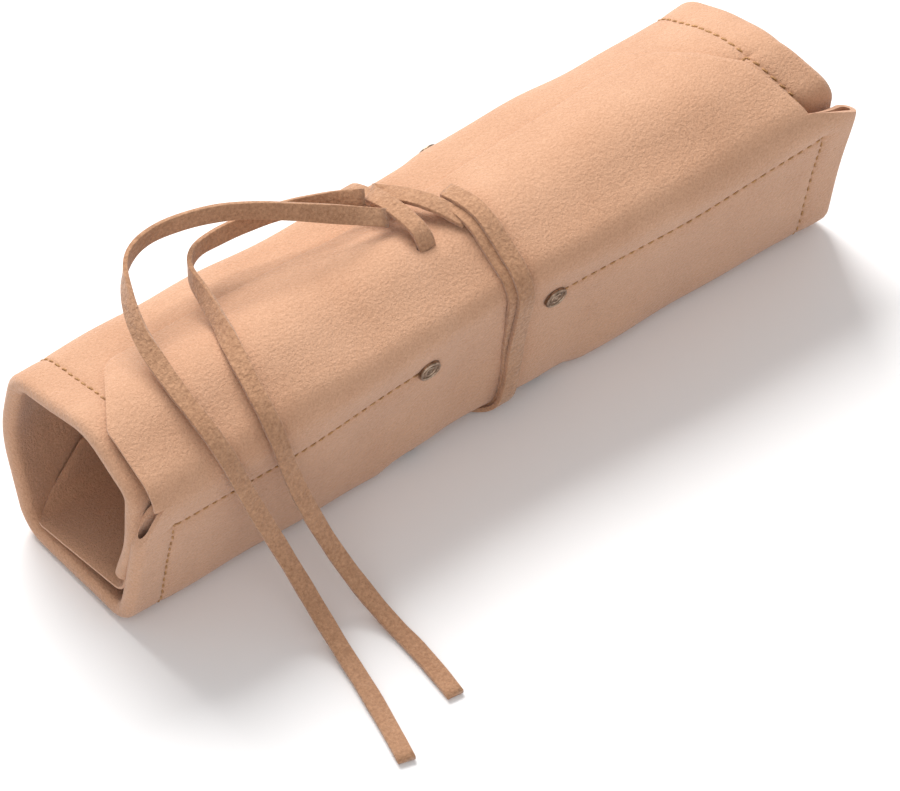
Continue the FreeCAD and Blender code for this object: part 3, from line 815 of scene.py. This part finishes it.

# %% [markdown]
# ### The tails and the knot
# Each row is a place on the route, from the roll's left end and the table, and then the direction of
# the lace's width there. A simulated rope would fall flat, and this lace is stiff enough to stand in
# an arc, so its routes are given point by point.

# %% Tail routes
TAIL_LONG = [
    (0.1470, 0.0065, 0.0948, 0, 0.75, 0.65),
    (0.1210, 0.0180, 0.1060, 0, 0.5, 0.85),
    (0.0900, 0.0360, 0.1130, 0, 0.3, 0.95),
    (0.0520, 0.0420, 0.1140, 0, 0.1, 1),
    (0.0360, 0.0160, 0.1080, 0.55, 0, 0.8),
    (0.0345, -0.0110, 0.0976, 1, 0, 0.1),
    (0.0360, -0.0385, 0.0880, 1, 0, 0),
    (0.0430, -0.0470, 0.0600, 1, 0, 0),
    (0.0525, -0.0570, 0.0290, 1, 0, 0),
    (0.0565, -0.0800, 0.0026, 1, 0, 0),
    (0.0505, -0.1130, 0.0012, 1, 0, 0),
    (0.0430, -0.1400, 0.0016, 1, 0, 0),
]
TAIL_SHORT = [
    (0.1456, 0.0190, 0.0958, 0, 0.75, 0.65),
    (0.1260, 0.0275, 0.0996, 0, 0.5, 0.85),
    (0.0980, 0.0350, 0.0985, 0, 0.35, 0.95),
    (0.0715, 0.0330, 0.1010, 0, 0.1, 1),
    (0.0680, 0.0070, 0.0980, 0.55, 0, 0.8),
    (0.0610, -0.0180, 0.0955, 1, 0, 0.1),
    (0.0587, -0.0410, 0.0840, 1, 0, 0),
    (0.0627, -0.0470, 0.0560, 1, 0, 0),
    (0.0707, -0.0580, 0.0250, 1, 0, 0),
    (0.0777, -0.0800, 0.0026, 1, 0, 0),
    (0.0785, -0.1050, 0.0012, 1, 0, 0),
    (0.0760, -0.1260, 0.0015, 1, 0, 0),
]
print("tail points", len(TAIL_LONG), "and", len(TAIL_SHORT))

# %% Knot route
KNOT = [
    (0.1530, -0.0093, 0.0864, 1, 0, 0),
    (0.1528, -0.0083, 0.0946, 1, 0, 0),
    (0.1515, 0.0044, 0.0968, 1, 0.1, 0),
    (0.1493, 0.0150, 0.0966, 1, 0.2, 0),
    (0.1496, 0.0213, 0.0932, 0.95, 0.25, 0.1),
    (0.1540, 0.0206, 0.0916, 0.9, 0.35, 0.1),
    (0.1582, 0.0126, 0.0946, 0.95, 0.4, 0),
    (0.1630, 0.0046, 0.0952, 0.95, 0.4, 0),
    (0.1675, -0.0026, 0.0932, 0.95, 0.4, 0),
    (0.1712, -0.0088, 0.0905, 0.95, 0.4, 0),
]
print("knot points", len(KNOT))

# %% Tails and knot
for name, route, node, seed in (("lace_tail_outer", TAIL_LONG, "lace_tail_long", 3),
                                ("lace_tail_inner", TAIL_SHORT, "lace_tail_short", 5)):
    line = nurbs_line(name + "_line", route)
    tail = ribbon(name, line, sides_along(line, route), seed)
    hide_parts(node)
knot_line = nurbs_line("knot_line", KNOT)
knot = ribbon("lace_knot_strap", knot_line, sides_along(knot_line, KNOT), 9)
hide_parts("lace_knot")
print("knot strap", len(knot_line), "places")

# %% [markdown]
# ### The waist strands
# The two strands go nearly once round the roll, one over the other, and drift along it as they go. They
# follow the same winding as the leather, at a height above it, so they sit in the waist without
# any fitting. Beside the knot they stand off the leather, over the end of the knot's strap.

# %% Waist strands
loop = Winding(CORNERS[1:7], closed=True)
# The closed loop's own line starts where the crown's arc starts; shares count from that arc's end.
crown_arc = corner_reach(CORNERS[6], CORNERS[1], CORNERS[2])[1]
LACE_START = -0.085
LACE_END = 0.86
SHIFTS = [(-0.1, 0.0080), (-0.04, 0.0125), (0.04, 0.0130), (0.12, 0.0120), (0.24, 0.0110), (0.3, 0.0090),
          (0.345, 0.0040), (0.39, -0.0030), (0.48, -0.0090), (0.62, -0.0120), (0.8, -0.0105), (0.9, -0.0085)]

LACE_LIFT = LACE_T + 0.0002
LIFT_EASE = 0.03
STRAND_STEPS = 180
EASINGS = 12
LACE_CLEAR = 0.00005


def strand(name, level, spread, node, seed):
    """A flat strand round the waist at a height above the leather."""
    points = []
    sides = []
    for k in range(STRAND_STEPS + 1):
        share = LACE_START + (LACE_END - LACE_START) * k / STRAND_STEPS
        spot, normal = loop.at((share * loop.length + crown_arc) % loop.length)
        shift = float(np.interp(share, [a for a, b in SHIFTS], [b for a, b in SHIFTS]))
        x = HALF + shift + spread * math.cos(share * 2 * math.pi)
        lift = LACE_LIFT * (1 - float(smooth(share, -LIFT_EASE, LIFT_EASE)))
        down = float(waist_at(np.array(HALF), spot, normal)) - level - lift - LACE_T / 2
        height = max(spot[1] - normal[1] * down, LACE_T / 2)
        points.append(Vector((x - HALF, spot[0] - normal[0] * down, height)))
        sides.append(Vector((1, 0, 0)))
    for _ in range(EASINGS):
        middle = [(points[i - 1] + points[i] * 2 + points[i + 1]) / 4
                  for i in range(1, STRAND_STEPS)]
        points = points[:1] + middle + points[-1:]
    obj = ribbon(name, points, sides, seed)
    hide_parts(node)
    return obj


strand("lace_waist_under", LACE_CLEAR, -0.0032, "lace_under_strand", 11)
strand("lace_waist_over", 2 * LACE_CLEAR + LACE_T, 0.0006, "lace_over_strand", 13)
print("waist strands laid")

# %% [markdown]
# ## Materials
# Nubuck, rough suede, waxed thread and aged brass all have a mottled tone, at very different
# scales. A painted image would do it, but noise in the object's own space needs no unwrapping and
# stays sharp close up. So the mottle is one node group, placed in each material with its own grain.


# %% Mottle group
MIX_SHARE = 0
MIX_A = 6
MIX_B = 7
MIX_COLOR = 2


def mottle_group():
    """Noise between two tones: sockets for its scale, its limits and both tones."""
    group = bpy.data.node_groups.new("mottle", "ShaderNodeTree")
    sockets = (("Scale", "NodeSocketFloat"), ("Low", "NodeSocketFloat"), ("High", "NodeSocketFloat"),
               ("Dark", "NodeSocketColor"), ("Light", "NodeSocketColor"))
    for name, kind in sockets:
        group.interface.new_socket(name, in_out="INPUT", socket_type=kind)
    group.interface.new_socket("Color", in_out="OUTPUT", socket_type="NodeSocketColor")
    group.interface.new_socket("Mask", in_out="OUTPUT", socket_type="NodeSocketFloat")
    given = group.nodes.new("NodeGroupInput")
    result = group.nodes.new("NodeGroupOutput")
    place = group.nodes.new("ShaderNodeTexCoord")
    noise = group.nodes.new("ShaderNodeTexNoise")
    noise.inputs["Detail"].default_value = 4
    noise.inputs["Roughness"].default_value = 0.62
    limits = group.nodes.new("ShaderNodeMapRange")
    tones = group.nodes.new("ShaderNodeMix")
    tones.data_type = "RGBA"
    link = group.links.new
    link(place.outputs["Object"], noise.inputs["Vector"])
    link(given.outputs["Scale"], noise.inputs["Scale"])
    link(noise.outputs["Fac"], limits.inputs["Value"])
    link(given.outputs["Low"], limits.inputs["From Min"])
    link(given.outputs["High"], limits.inputs["From Max"])
    link(limits.outputs["Result"], tones.inputs[MIX_SHARE])
    link(given.outputs["Dark"], tones.inputs[MIX_A])
    link(given.outputs["Light"], tones.inputs[MIX_B])
    link(tones.outputs[MIX_COLOR], result.inputs["Color"])
    link(limits.outputs["Result"], result.inputs["Mask"])
    return group


MOTTLE = mottle_group()
print("group", MOTTLE.name, "sockets", len(MOTTLE.interface.items_tree))


# %% Material helpers
def material(name, build):
    mat = bpy.data.materials.new(name)
    mat.use_nodes = True
    tree = mat.node_tree
    tree.nodes.clear()
    out = tree.nodes.new("ShaderNodeOutputMaterial")
    shader = tree.nodes.new("ShaderNodeBsdfPrincipled")
    tree.links.new(shader.outputs[0], out.inputs[0])
    build(tree, shader)
    return mat


def mottle(tree, scale, low, high, dark=(0, 0, 0), light=(1, 1, 1)):
    """The mottle group placed in a material with its own values."""
    n = tree.nodes.new("ShaderNodeGroup")
    n.node_tree = MOTTLE
    for name, value in (("Scale", scale), ("Low", low), ("High", high)):
        n.inputs[name].default_value = value
    for name, value in (("Dark", dark), ("Light", light)):
        n.inputs[name].default_value = (*value, 1)
    return n


def mix(tree, kind, share, a, b):
    n = tree.nodes.new("ShaderNodeMix")
    n.data_type = "RGBA"
    n.blend_type = kind
    n.inputs[MIX_SHARE].default_value = share
    tree.links.new(a.outputs["Color"] if "Color" in a.outputs else a.outputs[MIX_COLOR], n.inputs[MIX_A])
    tree.links.new(b.outputs["Color"], n.inputs[MIX_B])
    return n


def bump(tree, shader, height, strength, distance, before=None):
    n = tree.nodes.new("ShaderNodeBump")
    n.inputs["Strength"].default_value = strength
    n.inputs["Distance"].default_value = distance
    tree.links.new(height.outputs["Mask"], n.inputs["Height"])
    if before:
        tree.links.new(before.outputs[0], n.inputs["Normal"])
    tree.links.new(n.outputs[0], shader.inputs["Normal"])
    return n


print("material helpers ready")

# %% [markdown]
# ### Nubuck and suede
# Both are brushed leather: broad cloudy tone from the hide, a fine nap over it, and dark specks
# where the fibres part. Two bumps give the nap and the slow unevenness below it. The lace is the
# same leather with a coarser, darker nap, and its cut sides are painted paler: a painted highlight
# for the light that the lace's edges catch.


# %% Leathers
CLOUDS = 24
SLOW_WAVES = 210
SPECKS_FINER = 2.1
NAP_BUMP = 0.7
SPECK_TONE = (0.62, 0.50, 0.42)


def nubuck(light, middle, dark, nap, depth):
    def build(tree, shader):
        broad = mottle(tree, CLOUDS, 0.36, 0.66, middle, light)
        fibres = mottle(tree, nap, 0.33, 0.67, dark, light)
        specks = mottle(tree, nap * SPECKS_FINER, 0.30, 0.46, SPECK_TONE, (1, 1, 1))
        colour = mix(tree, "MULTIPLY", 0.55, mix(tree, "MIX", 0.45, broad, fibres), specks)
        tree.links.new(colour.outputs[MIX_COLOR], shader.inputs["Base Color"])
        shader.inputs["Roughness"].default_value = 0.92
        shader.inputs["Specular IOR Level"].default_value = 0.15
        shader.inputs["Sheen Weight"].default_value = 0.30
        shader.inputs["Sheen Roughness"].default_value = 0.5
        slow = bump(tree, shader, mottle(tree, SLOW_WAVES, 0.2, 0.8), 0.30, 0.0006)
        bump(tree, shader, mottle(tree, nap * NAP_BUMP, 0.2, 0.8), depth, 0.0005, slow)
    return build


leather_mat = material("nubuck_leather", nubuck((0.66, 0.385, 0.245), (0.58, 0.32, 0.195),
                                                (0.42, 0.22, 0.125), 1250, 0.8))
lace_mat = material("lace_leather", nubuck((0.56, 0.315, 0.185), (0.44, 0.235, 0.13),
                                           (0.20, 0.09, 0.045), 800, 1.0))
# The cut sides are a paler copy of the lace leather: a painted highlight for the light the edges catch.
lace_edge_highlight_mat = material("lace_cut_edge_painted_highlight", nubuck((0.62, 0.37, 0.23), (0.42, 0.23, 0.13),
                                                 (0.16, 0.07, 0.035), 1100, 1.0))
print("leathers", leather_mat.name, lace_mat.name, lace_edge_highlight_mat.name)

# %% [markdown]
# ### Thread and brass
# The thread is waxed, and brown with lighter flecks. The rivets are brass
# that has darkened in patches. A plain metal would look new, so its colour comes from the mottle,
# while the metal itself stays a plain value on the shader.


# %% Thread and brass
def build_thread(tree, shader):
    colour = mottle(tree, 1500, 0.3, 0.7, (0.20, 0.085, 0.03), (0.62, 0.34, 0.13))
    tree.links.new(colour.outputs["Color"], shader.inputs["Base Color"])
    shader.inputs["Roughness"].default_value = 0.6
    bump(tree, shader, colour, 0.6, 0.0002)


def build_brass(tree, shader):
    colour = mottle(tree, 420, 0.3, 0.75, (0.13, 0.08, 0.05), (0.60, 0.45, 0.34))
    tree.links.new(colour.outputs["Color"], shader.inputs["Base Color"])
    shader.inputs["Metallic"].default_value = 1.0
    shader.inputs["Roughness"].default_value = 0.34
    bump(tree, shader, colour, 0.2, 0.0002)


thread_mat = material("waxed_thread", build_thread)
brass_mat = material("aged_brass", build_brass)
print("thread and brass", thread_mat.name, brass_mat.name)

# %% [markdown]
# ### Putting the finishes on
# The leather pieces, the stitches and the lace take their materials from here. The rivets are parts
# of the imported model, so only their material slots change and their shapes stay as they are.


# %% Finishes on the pieces
def wear(obj, *mats):
    obj.data.materials.clear()
    for mat in mats:
        obj.data.materials.append(mat)


for obj in (leather_body, leather_flap, leather_inner):
    wear(obj, leather_mat)
    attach(obj, BODY)
for obj in seam_stitches:
    wear(obj, thread_mat)
for name in ("lace_tail_outer", "lace_tail_inner", "lace_knot_strap", "lace_waist_under", "lace_waist_over"):
    wear(bpy.data.objects[name], lace_mat, lace_edge_highlight_mat)
for name in ("rivet_posts_left", "rivet_posts_right", "rivet_caps_left", "rivet_caps_right"):
    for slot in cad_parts[name].material_slots:
        slot.material = brass_mat
print("materials set")

# %% [markdown]
# ### One sheet
# The real roll is cut from one hide, so the body and both flaps are joined into one piece. Keeping
# three objects would be simpler, but then no one piece would stand for the sheet.

SHARP_FROM = 50
bpy.ops.object.select_all(action="DESELECT")
leather_flap.select_set(True)
leather_inner.select_set(True)
leather_body.select_set(True)
bpy.context.view_layer.objects.active = leather_body
bpy.ops.object.join()
leather_body.name = "leather_roll"
# Cut edges stay crisp, so that the flaps' own ends don't shade the leather that they go on as.
leather_body.data.set_sharp_from_angle(angle=math.radians(SHARP_FROM))
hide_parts("leather_sheet")

# %% [markdown]
# ## Floor, light and camera
# A pale floor, a white surround and two soft lights show the leather's nap without hard shadows. The
# strong one stands behind and above, as a window would, and the weak one fills the front. A sky
# texture could light it too, but its colour would tint the hide.


# %% Stage
FLOOR_REACH = 3
FLOOR_DROP = 0.0002
SURROUND = 0.50
WINDOW_POWER = 31
FILL_POWER = 4


def area_light(name, place, aim, size, power, colour=(1, 1, 1)):
    lamp = bpy.data.lights.new(name, "AREA")
    lamp.shape = "RECTANGLE"
    lamp.size, lamp.size_y = size
    lamp.energy = power
    lamp.color = colour
    obj = bpy.data.objects.new(name, lamp)
    obj.location = place
    obj.rotation_euler = (Vector(aim) - Vector(place)).to_track_quat("-Z", "Y").to_euler()
    bpy.context.scene.collection.objects.link(obj)
    return obj


def build_floor(tree, shader):
    shader.inputs["Base Color"].default_value = (0.93, 0.93, 0.94, 1)
    shader.inputs["Roughness"].default_value = 0.75


floor_corners = [(-1, -1), (1, -1), (1, 1), (-1, 1)]
floor_points = [(x * FLOOR_REACH, y * FLOOR_REACH, 0) for x, y in floor_corners]
floor = new_mesh("floor", floor_points, [(0, 1, 2, 3)], False)
floor.location.z = -FLOOR_DROP
wear(floor, material("pale_floor", build_floor))
world = bpy.data.worlds.new("studio")
world.use_nodes = True
world.node_tree.nodes["Background"].inputs[0].default_value = (1.0, 1.0, 1.0, 1)
world.node_tree.nodes["Background"].inputs[1].default_value = SURROUND
bpy.context.scene.world = world
bpy.context.scene.view_settings.view_transform = "Standard"
area_light("window", (0.18, 0.90, 1.20), (0, 0, 0), (1.0, 0.9), WINDOW_POWER, (1.0, 0.985, 0.965))
area_light("fill", (-0.6, -0.9, 0.9), (0, 0, 0.03), (1.2, 1.0), FILL_POWER)
print("floor and", WINDOW_POWER + FILL_POWER, "watts of light")

# %% [markdown]
# ### Camera
# The camera looks down at the front from the left, from far off with a long lens, so that the roll's
# edges stay nearly parallel. A camera close by would be easier to place, but would spread the near end.

# %% Camera
SENSOR = 36
AIM_HEIGHT = 0.05
FAR_ENOUGH = 20
VIEW = Vector((-0.4, -0.52, 0.755)).normalized()
TARGET = Vector((-0.0001, -0.01375, 0.0)) + VIEW * AIM_HEIGHT
DISTANCE = 9.0
WIDTH_SEEN = 0.3285
camera = bpy.data.cameras.new("camera")
camera.sensor_width = SENSOR
camera.lens = SENSOR * DISTANCE / WIDTH_SEEN
camera.clip_end = FAR_ENOUGH
camera_obj = bpy.data.objects.new("camera", camera)
camera_obj.location = TARGET + VIEW * DISTANCE
camera_obj.rotation_euler = (-VIEW).to_track_quat("-Z", "Y").to_euler()
bpy.context.scene.collection.objects.link(camera_obj)
bpy.context.scene.camera = camera_obj
print("lens", round(camera.lens), "mm at", DISTANCE, "m")
